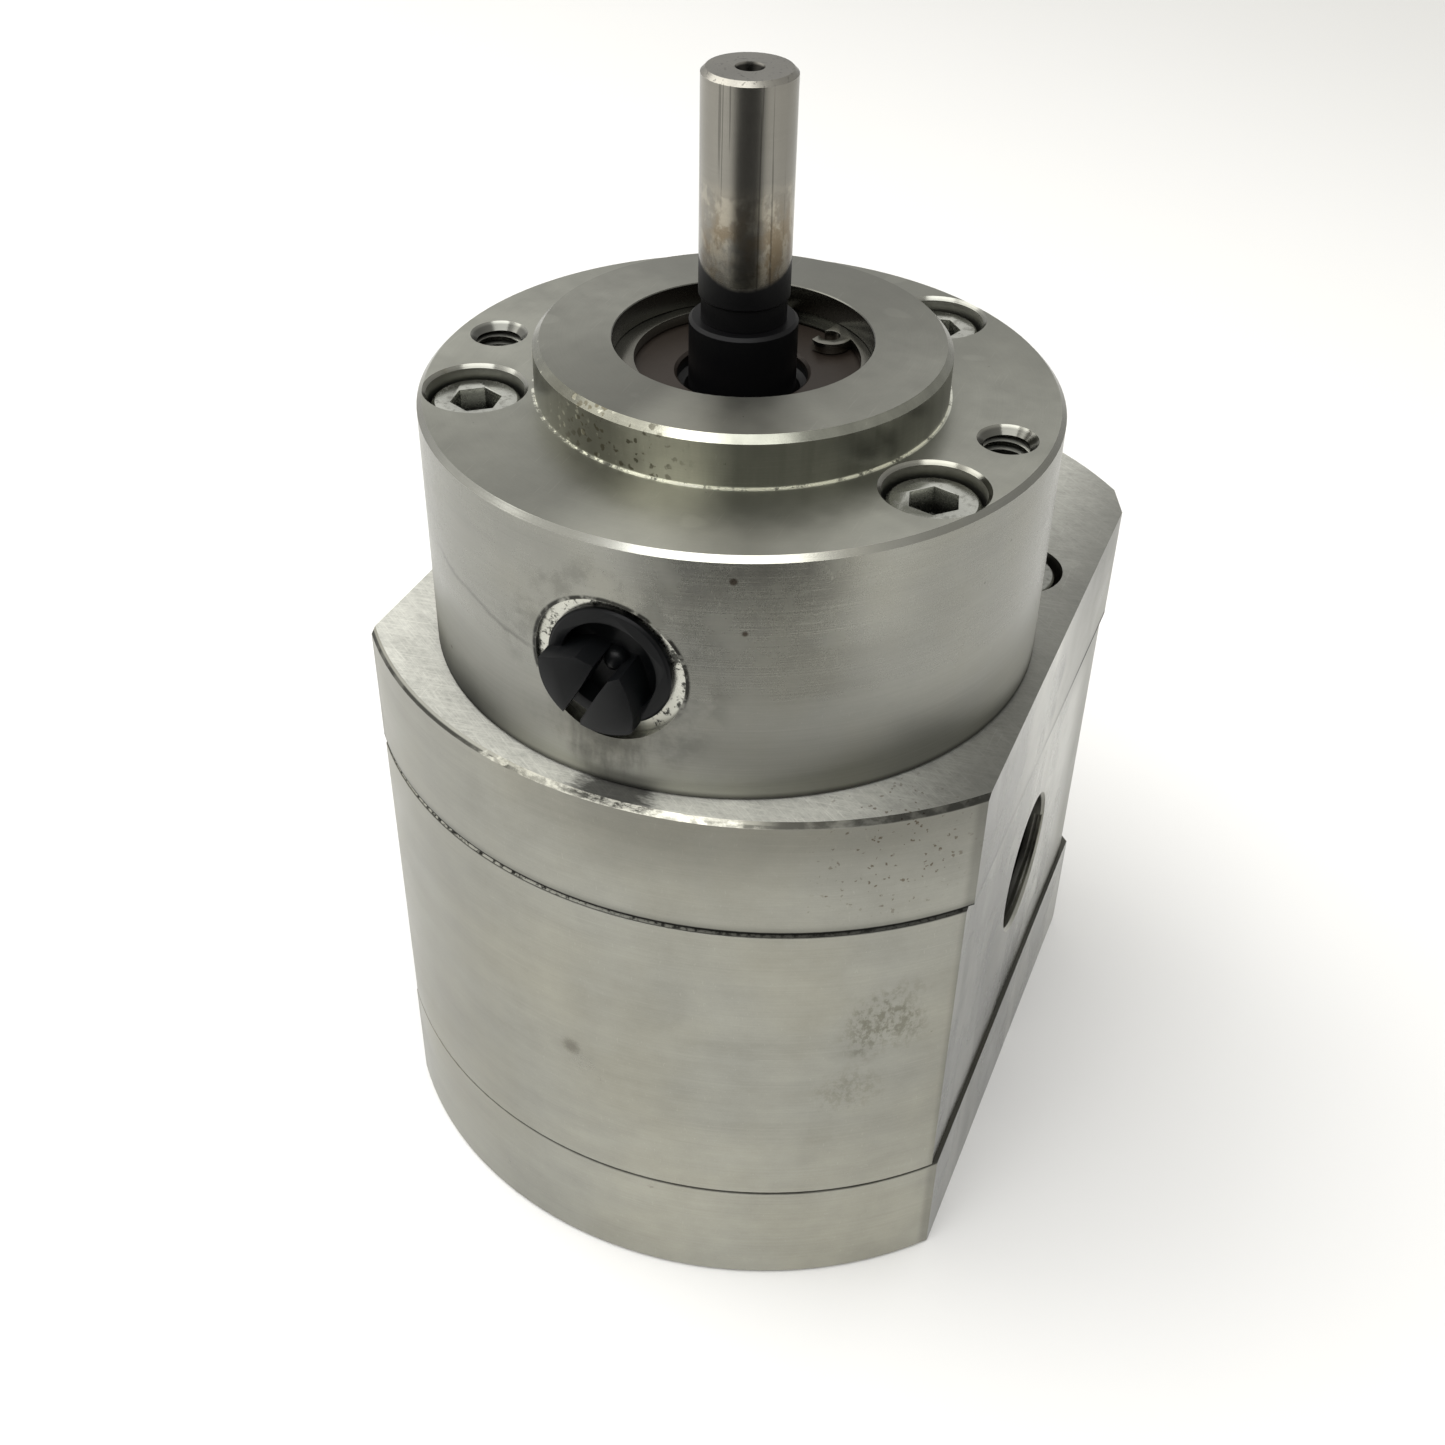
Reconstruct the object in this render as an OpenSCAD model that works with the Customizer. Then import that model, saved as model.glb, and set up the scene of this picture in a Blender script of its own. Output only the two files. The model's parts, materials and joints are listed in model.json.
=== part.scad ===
// External gear pump with a round seal housing, a three-plate body and a plugged barrier port.
// Origin: on the drive shaft axis, at the rear face of the rear plate. +Z runs out along the shaft.

/* [Pump body] */
// Radius of the turned sides of the three body plates
body_r = 51; // [50:0.5:54]
// Half width over the milled flats of the front and rear plates
flat_x = 38.2; // [37.9:0.1:38.8]
// Half width over the milled flats of the centre plate
centre_flat_x = 37.6; // [37.2:0.05:37.9]
// Half width where the cut corners at the idler end meet the turned side
corner_x = 35.3; // [34:0.1:36.5]
// Distance in Y where the cut corners meet the flats
corner_y = 42; // [40:0.5:43]
// Thickness of the rear plate
rear_h = 16.5; // [16.4:0.1:20]
// Thickness of the centre plate
centre_h = 45.2; // [42:0.1:50]
// Thickness of the front plate
front_h = 16.1; // [16:0.1:20]

/* [Seal housing] */
// Outside radius of the round seal housing
housing_r = 36; // [35.5:0.25:37]
// Height of the round seal housing
housing_h = 30.4; // [29:0.1:34]
// Radius of the pilot spigot
spigot_r = 23.1; // [22:0.1:23.4]
// Height of the pilot spigot
spigot_h = 5.9; // [5:0.1:8]
// Distance from the shaft axis to the two adaptor holes
adaptor_x = 30.6; // [30:0.1:31]

/* [Shaft] */
// Radius of the shaft in the bearings and seals
shaft_r = 6; // [5.8:0.05:6.1]
// Radius of the shaft end that takes the coupling
shaft_end_r = 5; // [4.5:0.1:5.2]
// Distance the shaft end stands above the housing face
shaft_out = 34.9; // [28:0.1:45]

/* [Gears] */
// Gear module
gear_m = 2; // [1.95:0.01:2.03]
// Radial clearance between gear tips and the gear chamber
tip_gap = 0.08; // [0.05:0.01:0.12]
// Depth of each wear plate beside the gears
wear_h = 4; // [3:0.5:5]

/* [Ports] */
// Tapping radius of the two side ports
port_r = 9.3; // [8:0.1:9.6]
// Distance of the barrier port below the housing face
plug_drop = 15.6; // [14:0.1:16.5]

/* [Hidden] */
$fn = 96;
eps = 0.01;
gear_n = 12;
press_a = 25;
backlash = 0.14;
pitch_r = gear_m * gear_n / 2;
centre_d = gear_m * gear_n;
body_y = centre_d / 2;
tip_r = pitch_r + 0.95 * gear_m;
root_r = pitch_r - 1.25 * gear_m;
cavity_r = tip_r + tip_gap;
z_centre = rear_h;
z_front = rear_h + centre_h;
z_house = z_front + front_h;
z_face = z_house + housing_h;
z_spigot = z_face + spigot_h;
z_tip = z_face + shaft_out;
port_z = z_centre + 23.5;
port_chamfer = 0.4;
plug_z = z_face - plug_drop;
// chamber seats
bush_r = 9;
bush_h = 12;
rear_bush_h = 12.5;
bush_bore = shaft_r + 0.03;
axial_gap = 0.05;
gear_z = z_centre + wear_h + axial_gap;
gear_h = centre_h - 2 * wear_h - 2 * axial_gap;
shaft_z = 3.4;
idler_top = z_front + bush_h + 0.3;
ring_t = 1;
ring_seat = 1.3;
ring_groove_r = shaft_r - 0.3;
ring_out_r = shaft_r + 1.4;
key_w = 3;
key_in = shaft_r - 1.8;
key_out = shaft_r + 1.2;
key_z = gear_z + 4;
key_h = gear_h - 8;
// shaft steps above the housing face
collar_top = z_face + 8.2;
relief_top = z_face + 11;
relief_r = shaft_end_r - 0.3;
// seals
seal_r = 14;
seal_h = 7;
seal_hole_r = 7.3;
seal_face = z_face + 1.7;
outer_seal_z = seal_face - seal_h;
inner_seal_z = z_house + 3;
lantern_z = inner_seal_z + seal_h;
lantern_h = outer_seal_z - lantern_z;
lip_r = shaft_r + 0.03;
snap_t = 1.2;
snap_z = seal_face + 0.1;
entry_r = 14.4;
snap_groove_r = 15.1;
snap_hole_r = 11.7;
snap_in_r = 12.6;
snap_offset = 0.9;
snap_eye_r = 2.4;
snap_mid = 76;
snap_half = 21.4;
// screws
m6_r = 3;
m6_clear = 3.3;
m6_tap = 3.02;
m6_minor = 2.5;
m6_head_r = 5;
m6_head_h = 6;
hex_af = 5;
hex_deep = 3.2;
house_bolt_r = 29.6;
house_bolt_a = [-153.8, -26.2, 60, 120];
house_cbore_r = 5.5;
house_cbore_h = 7.4;
house_bolt_l = 35;
body_bolt_x = 28.85;
body_bolt_dy = 11.1;
body_cbore_r = 5.85;
body_cbore_h = 6.5;
body_bolt_l = 18;
body_tap_h = 10;
rear_cbore_h = 7;
adaptor_deep = 14;
dowel_r = 3;
house_dowel_r = 2;
house_dowel_a = [150, -60];
fit_gap = 0.01;
body_dowel_x = 14;
body_dowel_dy = 39.7;
// o-rings
cord_r = 0.75;
oring_r = 17.6;
house_oring_r = 11.4;
// barrier port plug
spot_r = 8.5;
spot_floor = housing_r - 1.5;
plug_thread_r = 6.5;
plug_bore_r = 6.55;
plug_head_r = 7;
plug_flange_h = 0.9;
plug_cup_r = 5.4;
plug_cup_h = 2.4;
plug_lobe_h = 2.2;
plug_post_r = 1.4;
plug_in = 10;
steel = [0.72, 0.72, 0.70];
dark = [0.12, 0.12, 0.12];
bright = [0.82, 0.82, 0.80];
bronze = [0.62, 0.48, 0.28];
rubber = [0.08, 0.08, 0.08];
carbon = [0.22, 0.22, 0.23];
brown = [0.42, 0.36, 0.33];

// a turned disc with chamfered edges
module turned(r, h, low, high) {
  rotate_extrude()
    polygon([[0, 0], [r - low, 0], [r, low], [r, h - high], [r - high, h], [0, h]]);
}

// a plate of the pump body: turned blank with two milled flats
module body_blank(h, half, low, high) {
  intersection() {
    translate([0, body_y, 0])
      turned(body_r, h, low, high);
    translate([-half, body_y - 60, -1])
      cube([2 * half, 120, h + 2]);
  }
}

// what is cut off the two corners at the idler end of a plate
module idler_corners(z, h) {
  arc_y = body_y + sqrt(body_r * body_r - corner_x * corner_x);
  for (s = [-1, 1])
    translate([0, 0, z])
      linear_extrude(height = h)
        polygon([[s * (2 * corner_x - flat_x), 2 * arc_y - corner_y],
          [s * (2 * flat_x - corner_x), 2 * corner_y - arc_y],
          [s * (flat_x + 10), arc_y + 10]]);
}

// places its children at the four body screws of one face
module at_body_screws() {
  for (sx = [-1, 1])
    for (sy = [-1, 1])
      translate([sx * body_bolt_x, body_y + sy * body_bolt_dy, 0])
        children();
}

// places its children at the two body dowels
module at_body_dowels() {
  for (s = [-1, 1])
    translate([s * body_dowel_x, body_y + s * body_dowel_dy, 0])
      children();
}

// places its children at the four housing screws
module at_housing_screws() {
  for (a = house_bolt_a)
    rotate([0, 0, a])
      translate([house_bolt_r, 0, 0])
        children();
}

// places its children at the two housing dowels
module at_housing_dowels() {
  for (a = house_dowel_a)
    rotate([0, 0, a])
      translate([house_bolt_r, 0, 0])
        children();
}

// two overlapping discs, one over each gear centre
module eight(r, h) {
  cylinder(r = r, h = h);
  translate([0, centre_d, 0])
    cylinder(r = r, h = h);
}

// oval ring of round cord around both gear centres
module cord_ring(r, c) {
  rotate([0, 0, 180])
    rotate_extrude(angle = 180)
      translate([r, 0])
        circle(r = c);
  translate([0, centre_d, 0])
    rotate_extrude(angle = 180)
      translate([r, 0])
        circle(r = c);
  for (s = [-1, 1])
    translate([s * r, 0, 0])
      rotate([-90, 0, 0])
        cylinder(r = c, h = centre_d);
}

// oval groove for the cord ring
module cord_groove(r, w, h) {
  difference() {
    union() {
      eight(r + w, h);
      translate([-r - w, 0, 0])
        cube([2 * (r + w), centre_d, h]);
    }
    translate([0, 0, -1])
      union() {
        eight(r - w, h + 2);
        translate([-r + w, 0, 0])
          cube([2 * (r - w), centre_d, h + 2]);
      }
  }
}

// socket head cap screw hanging below z = 0, head above
module cap_screw(length) {
  difference() {
    union() {
      rotate_extrude()
        polygon([[0, 0], [m6_head_r, 0], [m6_head_r, m6_head_h - 0.4],
          [m6_head_r - 0.4, m6_head_h], [0, m6_head_h]]);
      translate([0, 0, -length])
        rotate_extrude()
          polygon([[0, 0], [m6_r - 0.6, 0], [m6_r, 0.6], [m6_r, length + 0.5], [0, length + 0.5]]);
    }
    translate([0, 0, m6_head_h - hex_deep])
      cylinder(r = hex_af / 2 / cos(30), h = hex_deep + 1, $fn = 6);
  }
}

// involute flank helpers
function inv_deg(a) = tan(a) * 180 / PI - a;
base_r = pitch_r * cos(press_a);
half_tooth = (PI * gear_m / 2 - backlash) / 2 / pitch_r * 180 / PI;
function flank_a(r) = half_tooth + inv_deg(press_a) - inv_deg(acos(min(1, base_r / r)));
flank_n = 6;
flank_rs = [for (i = [0 : flank_n]) base_r + (tip_r - base_r) * i / flank_n];
root_in = 0.9;
function polar(r, a) = [r * cos(a), r * sin(a)];
tooth_step = 360 / gear_n;
gear_points = [for (k = [0 : gear_n - 1])
  let (c = 90 + k * tooth_step)
  each concat(
    [polar(root_r, c - flank_a(base_r) - root_in)],
    [polar(root_r + 0.7, c - flank_a(base_r) + root_in)],
    [for (i = [0 : flank_n]) polar(flank_rs[i], c - flank_a(flank_rs[i]))],
    [for (i = [0 : flank_n]) polar(flank_rs[flank_n - i], c + flank_a(flank_rs[flank_n - i]))],
    [polar(root_r + 0.7, c + flank_a(base_r) - root_in)],
    [polar(root_r, c + flank_a(base_r) + root_in)])];

// spur gear with its bore, keyway and ring seats, teeth turned from +Y
module gear(turn) {
  difference() {
    translate([0, 0, gear_z])
      rotate([0, 0, turn])
        linear_extrude(height = gear_h)
          polygon(gear_points);
    translate([0, 0, gear_z - 1])
      cylinder(r = shaft_r + fit_gap, h = gear_h + 2);
    for (z = [gear_z - 1, gear_z + gear_h - ring_seat])
      translate([0, 0, z])
        cylinder(r = ring_out_r + 0.3, h = ring_seat + 1);
    translate([0, -key_w / 2, gear_z - 1])
      cube([key_out, key_w, gear_h + 2]);
  }
}

// two snap rings that hold a gear on its shaft
module gear_rings() {
  for (z = [gear_z + ring_seat - ring_t, gear_z + gear_h - ring_seat])
    translate([0, 0, z])
      difference() {
        cylinder(r = ring_out_r, h = ring_t);
        translate([0, 0, -1])
          cylinder(r = ring_groove_r + fit_gap, h = ring_t + 2);
        translate([-ring_out_r - 1, -1.5, -1])
          cube([ring_out_r + 1, 3, ring_t + 2]);
      }
}

// grooves for the snap rings and the key seat, cut from a shaft
module shaft_cuts() {
  for (z = [gear_z + ring_seat - ring_t, gear_z + gear_h - ring_seat])
    translate([0, 0, z])
      difference() {
        cylinder(r = shaft_r + 1, h = ring_t);
        translate([0, 0, -1])
          cylinder(r = ring_groove_r, h = ring_t + 2);
      }
  translate([key_in, -key_w / 2, key_z])
    cube([3, key_w, key_h]);
}

// feather key seated in the shaft
module key() {
  translate([key_in, -key_w / 2, key_z])
    cube([key_out - key_in, key_w, key_h]);
}

// plain bearing bush
module bush(h) {
  rotate_extrude()
    polygon([[bush_bore, 0.3], [bush_bore + 0.3, 0], [bush_r - 0.4, 0], [bush_r, 0.4],
      [bush_r, h - 0.4], [bush_r - 0.4, h], [bush_bore + 0.3, h], [bush_bore, h - 0.3]]);
}

// figure-eight wear plate
module wear_plate() {
  difference() {
    eight(cavity_r - 0.05, wear_h);
    translate([0, 0, -1])
      eight(shaft_r + 0.3, wear_h + 2);
  }
}

// metal case of a lip seal, closed face up
module seal_case() {
  rotate_extrude()
    polygon([[seal_r - 1, 0], [seal_r - 0.4, 0], [seal_r, 0.4], [seal_r, seal_h - 0.5],
      [seal_r - 0.5, seal_h], [seal_hole_r + 0.3, seal_h], [seal_hole_r, seal_h - 0.3],
      [seal_hole_r, seal_h - 0.9], [seal_r - 1, seal_h - 0.9]]);
}

// rubber sealing element inside the case
module seal_lip() {
  rotate_extrude()
    polygon([[seal_r - 1, 0.5], [seal_r - 1, seal_h - 0.9], [seal_hole_r, seal_h - 0.9],
      [seal_hole_r, seal_h - 1.6], [lip_r + 0.5, seal_h - 2], [lip_r, 2.2], [lip_r + 0.8, 0.8],
      [lip_r + 3, 0.8], [lip_r + 3, 3], [lip_r + 1.2, 3.4], [lip_r + 1.6, seal_h - 2.8],
      [seal_r - 2, seal_h - 2.8], [seal_r - 2, 0.5]]);
}

// garter spring around the lip
module seal_spring() {
  translate([0, 0, 1.5])
    rotate_extrude()
      translate([lip_r + 3.7, 0])
        circle(r = 0.65);
}

module seal_housing() {
  color(steel)
    difference() {
      union() {
        translate([0, 0, z_house])
          turned(housing_r, housing_h, 0.3, 0.6);
        translate([0, 0, z_face - 1])
          turned(spigot_r, spigot_h + 1, 0.1, 0.75);
      }
      // seal bore, wider entry bore and the snap ring groove
      translate([0, 0, inner_seal_z])
        cylinder(r = seal_r, h = seal_face - inner_seal_z + 0.05);
      translate([0, 0, seal_face])
        cylinder(r = entry_r, h = spigot_h + 1);
      translate([0, 0, z_spigot - 0.1])
        rotate_extrude()
          polygon([[0, 0], [entry_r, 0], [entry_r + 1, 1], [0, 1]]);
      translate([0, 0, snap_z])
        cylinder(r = snap_groove_r, h = snap_t + 0.1);
      translate([0, 0, z_house - 1])
        cylinder(r = seal_hole_r + 0.2, h = 10);
      // housing screws
      translate([0, 0, z_house])
        at_housing_screws() {
          translate([0, 0, -1])
            cylinder(r = m6_clear, h = housing_h + 2);
          translate([0, 0, housing_h - house_cbore_h])
            cylinder(r = house_cbore_r, h = house_cbore_h + 1);
          translate([0, 0, housing_h - 0.4])
            rotate_extrude()
              polygon([[0, 0], [house_cbore_r, 0], [house_cbore_r + 0.5, 0.5], [0, 0.5]]);
        }
      // tapped holes for the motor adaptor
      for (s = [-1, 1])
        translate([s * adaptor_x, 0, z_face - adaptor_deep]) {
          cylinder(r = m6_minor, h = adaptor_deep + 1);
          translate([0, 0, adaptor_deep - 0.85])
            rotate_extrude()
              polygon([[0, 0], [m6_minor, 0], [m6_minor + 1.7, 1.7], [0, 1.7]]);
        }
      // dowels
      at_housing_dowels()
        translate([0, 0, z_house - 1])
          cylinder(r = house_dowel_r + fit_gap, h = 7.2);
      // barrier port with its spot face and cross drilling
      translate([0, 0, plug_z])
        rotate([90, 0, 0]) {
          translate([0, 0, spot_floor])
            cylinder(r = spot_r, h = 5);
          translate([0, 0, spot_floor - plug_in - 2])
            cylinder(r = plug_bore_r, h = plug_in + 4);
          translate([0, 0, 10])
            cylinder(r = 2.5, h = 20);
        }
    }
}

module front_plate() {
  color(steel)
    difference() {
      translate([0, 0, z_front])
        body_blank(front_h, flat_x, 0.3, 0.6);
      idler_corners(z_front - 1, front_h + 2);
      // shaft passage and bush seats
      translate([0, 0, z_front - 1])
        cylinder(r = shaft_r + 0.6, h = front_h + 2);
      translate([0, 0, z_front - 1])
        eight(bush_r, bush_h + 1);
      translate([0, centre_d, z_front])
        cylinder(r = shaft_r + 0.6, h = bush_h + 0.8);
      // o-ring seat under the seal housing
      translate([0, 0, z_house - 2 * cord_r])
        difference() {
          cylinder(r = house_oring_r + 1.1, h = 3);
          translate([0, 0, -1])
            cylinder(r = house_oring_r - 1.1, h = 5);
        }
      // body screws with counterbores
      at_body_screws() {
        translate([0, 0, z_front - 1])
          cylinder(r = m6_clear, h = front_h + 2);
        translate([0, 0, z_house - body_cbore_h])
          cylinder(r = body_cbore_r, h = body_cbore_h + 1);
      }
      // tapped holes for the housing screws
      at_housing_screws()
        translate([0, 0, z_front + 2.2])
          cylinder(r = m6_tap, h = front_h);
      at_housing_dowels()
        translate([0, 0, z_house - 6.2])
          cylinder(r = house_dowel_r + fit_gap, h = 8);
      at_body_dowels()
        translate([0, 0, z_front - 1])
          cylinder(r = dowel_r + fit_gap, h = 9.2);
    }
}

module centre_plate() {
  color(steel)
    difference() {
      translate([0, 0, z_centre])
        body_blank(centre_h, centre_flat_x, 0.25, 0.5);
      idler_corners(z_centre - 1, centre_h + 2);
      // gear chamber
      translate([0, 0, z_centre - 1])
        eight(cavity_r, centre_h + 2);
      // side ports
      for (s = [-1, 1])
        translate([0, body_y, port_z])
          rotate([0, s * 90, 0]) {
            cylinder(r = 6.5, h = centre_flat_x + 1);
            translate([0, 0, centre_flat_x - 17])
              cylinder(r = port_r, h = 18);
            translate([0, 0, centre_flat_x - port_chamfer])
              rotate_extrude()
                polygon([[0, 0], [port_r, 0], [port_r + 2 * port_chamfer, 2 * port_chamfer],
                  [0, 2 * port_chamfer]]);
          }
      // o-ring grooves in both faces
      translate([0, 0, z_front - 2 * cord_r])
        cord_groove(oring_r, 1, 3);
      translate([0, 0, z_centre - 1])
        cord_groove(oring_r, 1, 1 + 2 * cord_r);
      // tapped holes for the body screws in both faces
      at_body_screws() {
        translate([0, 0, z_front - body_tap_h])
          cylinder(r = m6_tap, h = body_tap_h + 1);
        translate([0, 0, z_centre - 1])
          cylinder(r = m6_tap, h = body_tap_h + 1);
      }
      at_body_dowels()
        translate([0, 0, z_centre - 1])
          cylinder(r = dowel_r + fit_gap, h = centre_h + 2);
    }
}

module rear_plate() {
  color(steel)
    difference() {
      body_blank(rear_h, flat_x - 0.05, 0.5, 0.25);
      translate([0, 0, rear_h - rear_bush_h])
        eight(bush_r, rear_bush_h + 1);
      translate([0, 0, shaft_z - 0.4])
        eight(shaft_r + 0.6, rear_h);
      // rear screws with counterbores
      at_body_screws() {
        translate([0, 0, -1])
          cylinder(r = m6_clear, h = rear_h + 2);
        translate([0, 0, -1])
          cylinder(r = body_cbore_r, h = rear_cbore_h + 1);
      }
      at_body_dowels()
        translate([0, 0, rear_h - 8.2])
          cylinder(r = dowel_r + fit_gap, h = 10);
    }
}

module drive_shaft() {
  color(bright)
    difference() {
      rotate_extrude()
        polygon([[0, shaft_z], [shaft_r - 0.5, shaft_z], [shaft_r, shaft_z + 0.5],
          [shaft_r, collar_top - 0.35], [shaft_r - 0.35, collar_top], [relief_r, collar_top],
          [relief_r, relief_top - 0.3], [shaft_end_r, relief_top], [shaft_end_r, z_tip - 0.5],
          [shaft_end_r - 0.5, z_tip], [0, z_tip]]);
      shaft_cuts();
      // centre drilling
      translate([0, 0, z_tip - 6])
        cylinder(r = 1, h = 7);
      translate([0, 0, z_tip - 1.2])
        cylinder(r1 = 1, r2 = 1.55, h = 1.2 + eps);
    }
}

module drive_gear() {
  color(bright)
    gear(0);
}

module drive_key() {
  color(dark)
    key();
}

module drive_gear_rings() {
  color(dark)
    gear_rings();
}

module idler_shaft() {
  color(bright)
    difference() {
      translate([0, centre_d, 0])
        rotate_extrude()
          polygon([[0, shaft_z], [shaft_r - 0.5, shaft_z], [shaft_r, shaft_z + 0.5],
            [shaft_r, idler_top - 0.5], [shaft_r - 0.5, idler_top], [0, idler_top]]);
      translate([0, centre_d, 0])
        shaft_cuts();
    }
}

module idler_gear() {
  color(bright)
    translate([0, centre_d, 0])
      gear(tooth_step / 2);
}

module idler_key() {
  color(dark)
    translate([0, centre_d, 0])
      key();
}

module idler_gear_rings() {
  color(dark)
    translate([0, centre_d, 0])
      gear_rings();
}

module front_wear_plate() {
  color(carbon)
    translate([0, 0, z_front - wear_h])
      wear_plate();
}

module rear_wear_plate() {
  color(carbon)
    translate([0, 0, z_centre])
      wear_plate();
}

module drive_front_bush() {
  color(carbon)
    translate([0, 0, z_front])
      bush(bush_h);
}

module idler_front_bush() {
  color(carbon)
    translate([0, centre_d, z_front])
      bush(bush_h);
}

module drive_rear_bush() {
  color(carbon)
    translate([0, 0, rear_h - rear_bush_h])
      bush(rear_bush_h);
}

module idler_rear_bush() {
  color(carbon)
    translate([0, centre_d, rear_h - rear_bush_h])
      bush(rear_bush_h);
}

module outer_seal_case() {
  color(brown)
    translate([0, 0, outer_seal_z])
      seal_case();
}

module outer_seal_lip() {
  color(rubber)
    translate([0, 0, outer_seal_z])
      seal_lip();
}

module outer_seal_spring() {
  color(bright)
    translate([0, 0, outer_seal_z])
      seal_spring();
}

module inner_seal_case() {
  color(brown)
    translate([0, 0, inner_seal_z])
      seal_case();
}

module inner_seal_lip() {
  color(rubber)
    translate([0, 0, inner_seal_z])
      seal_lip();
}

module inner_seal_spring() {
  color(bright)
    translate([0, 0, inner_seal_z])
      seal_spring();
}

module lantern_ring() {
  color(bronze)
    difference() {
      translate([0, 0, lantern_z])
        rotate_extrude()
          polygon([[10.4, 0], [seal_r - 0.05, 0], [seal_r - 0.05, 1.6], [12.6, 1.6],
            [12.6, lantern_h - 1.6], [seal_r - 0.05, lantern_h - 1.6],
            [seal_r - 0.05, lantern_h], [10.4, lantern_h]]);
      for (a = [0 : 90 : 270])
        rotate([0, 0, a])
          translate([0, 0, lantern_z + lantern_h / 2])
            rotate([0, 90, 0])
              cylinder(r = 2, h = 20);
    }
}

module retaining_ring() {
  color(bright)
    difference() {
      translate([0, 0, snap_z + 0.05])
        difference() {
          union() {
            difference() {
              cylinder(r = snap_groove_r - 0.05, h = snap_t);
              rotate([0, 0, snap_mid])
                translate([snap_offset, 0, -1])
                  cylinder(r = snap_in_r, h = snap_t + 2);
            }
            for (s = [-1, 1])
              rotate([0, 0, snap_mid + s * snap_half])
                translate([snap_hole_r + 0.1, 0, 0])
                  cylinder(r = snap_eye_r, h = snap_t);
          }
          for (s = [-1, 1])
            rotate([0, 0, snap_mid + s * snap_half])
              translate([snap_hole_r, 0, -1])
                cylinder(r = 1.2, h = snap_t + 2);
          rotate([0, 0, snap_mid])
            translate([5, -3.2, -1])
              cube([12, 6.4, snap_t + 2]);
        }
    }
}

module housing_oring() {
  color(rubber)
    translate([0, 0, z_house - cord_r - eps])
      rotate_extrude()
        translate([house_oring_r, 0])
          circle(r = cord_r - 2 * eps);
}

module front_oring() {
  color(rubber)
    translate([0, 0, z_front - cord_r - eps])
      cord_ring(oring_r, cord_r - 2 * eps);
}

module rear_oring() {
  color(rubber)
    translate([0, 0, z_centre + cord_r + eps])
      cord_ring(oring_r, cord_r - 2 * eps);
}

module housing_screws() {
  color(bright)
    at_housing_screws()
      translate([0, 0, z_face - house_cbore_h])
        rotate([0, 0, 12])
          cap_screw(house_bolt_l);
}

module body_screws() {
  color(bright)
    at_body_screws()
      translate([0, 0, z_house - body_cbore_h])
        cap_screw(body_bolt_l);
}

module rear_screws() {
  color(bright)
    at_body_screws()
      translate([0, 0, rear_cbore_h])
        rotate([180, 0, 0])
          cap_screw(body_bolt_l);
}

module body_dowels() {
  color(bright)
    at_body_dowels()
      translate([0, 0, rear_h - 8])
        turned(dowel_r, centre_h + 16, 0.6, 0.6);
}

module housing_dowels() {
  color(bright)
    at_housing_dowels()
      translate([0, 0, z_house - 6])
        turned(house_dowel_r, 12, 0.4, 0.4);
}

// pie-shaped lobe of the plug head, outline in the plane of the head
module plug_lobe(points) {
  intersection() {
    linear_extrude(height = plug_cup_h + plug_lobe_h)
      polygon(points);
    union() {
      cylinder(r = plug_cup_r + 0.2, h = plug_cup_h + plug_lobe_h);
      translate([0, 0, plug_cup_h - 0.4])
        cylinder(r = plug_head_r - 0.1, h = plug_lobe_h + 0.4);
    }
  }
}

module port_plug() {
  color(rubber)
    translate([0, 0, plug_z])
      rotate([90, 0, 0])
        translate([0, 0, spot_floor]) {
          difference() {
            union() {
              // thread
              translate([0, 0, -plug_in])
                rotate_extrude()
                  polygon([[0, 0], [plug_thread_r - 0.8, 0], [plug_thread_r, 0.8],
                    [plug_thread_r, plug_in + 0.2], [0, plug_in + 0.2]]);
              // flange
              rotate_extrude()
                polygon([[0, 0], [plug_head_r, 0], [plug_head_r, plug_flange_h - 0.3],
                  [plug_head_r - 0.3, plug_flange_h], [0, plug_flange_h]]);
            }
            // cup inside the flange
            translate([0, 0, plug_flange_h - plug_cup_h])
              cylinder(r = plug_cup_r, h = plug_cup_h + 1);
          }
          // lobes
          translate([0, 0, plug_flange_h - plug_cup_h - eps]) {
            plug_lobe([[-9, 0.3], [-5.3, 1.2], [-2.6, 2], [-0.6, 1.4], [-2.1, -1.6], [-3.8, -4.6],
              [-5.6, -8]]);
            plug_lobe([[-2.3, -9], [-2.3, -5.9], [-0.2, -2], [1, 0], [2.3, 0.7], [3.1, -1],
              [3.8, -3.8], [3.3, -9]]);
            // post with a domed end
            translate([0, 0, 0.3])
              sphere(r = plug_post_r);
          }
        }
}

seal_housing();
front_plate();
centre_plate();
rear_plate();
drive_shaft();
drive_gear();
drive_key();
drive_gear_rings();
idler_shaft();
idler_gear();
idler_key();
idler_gear_rings();
front_wear_plate();
rear_wear_plate();
drive_front_bush();
idler_front_bush();
drive_rear_bush();
idler_rear_bush();
outer_seal_case();
outer_seal_lip();
outer_seal_spring();
inner_seal_case();
inner_seal_lip();
inner_seal_spring();
lantern_ring();
retaining_ring();
housing_oring();
front_oring();
rear_oring();
housing_screws();
body_screws();
rear_screws();
body_dowels();
housing_dowels();
port_plug();
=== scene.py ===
import json
import math

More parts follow.
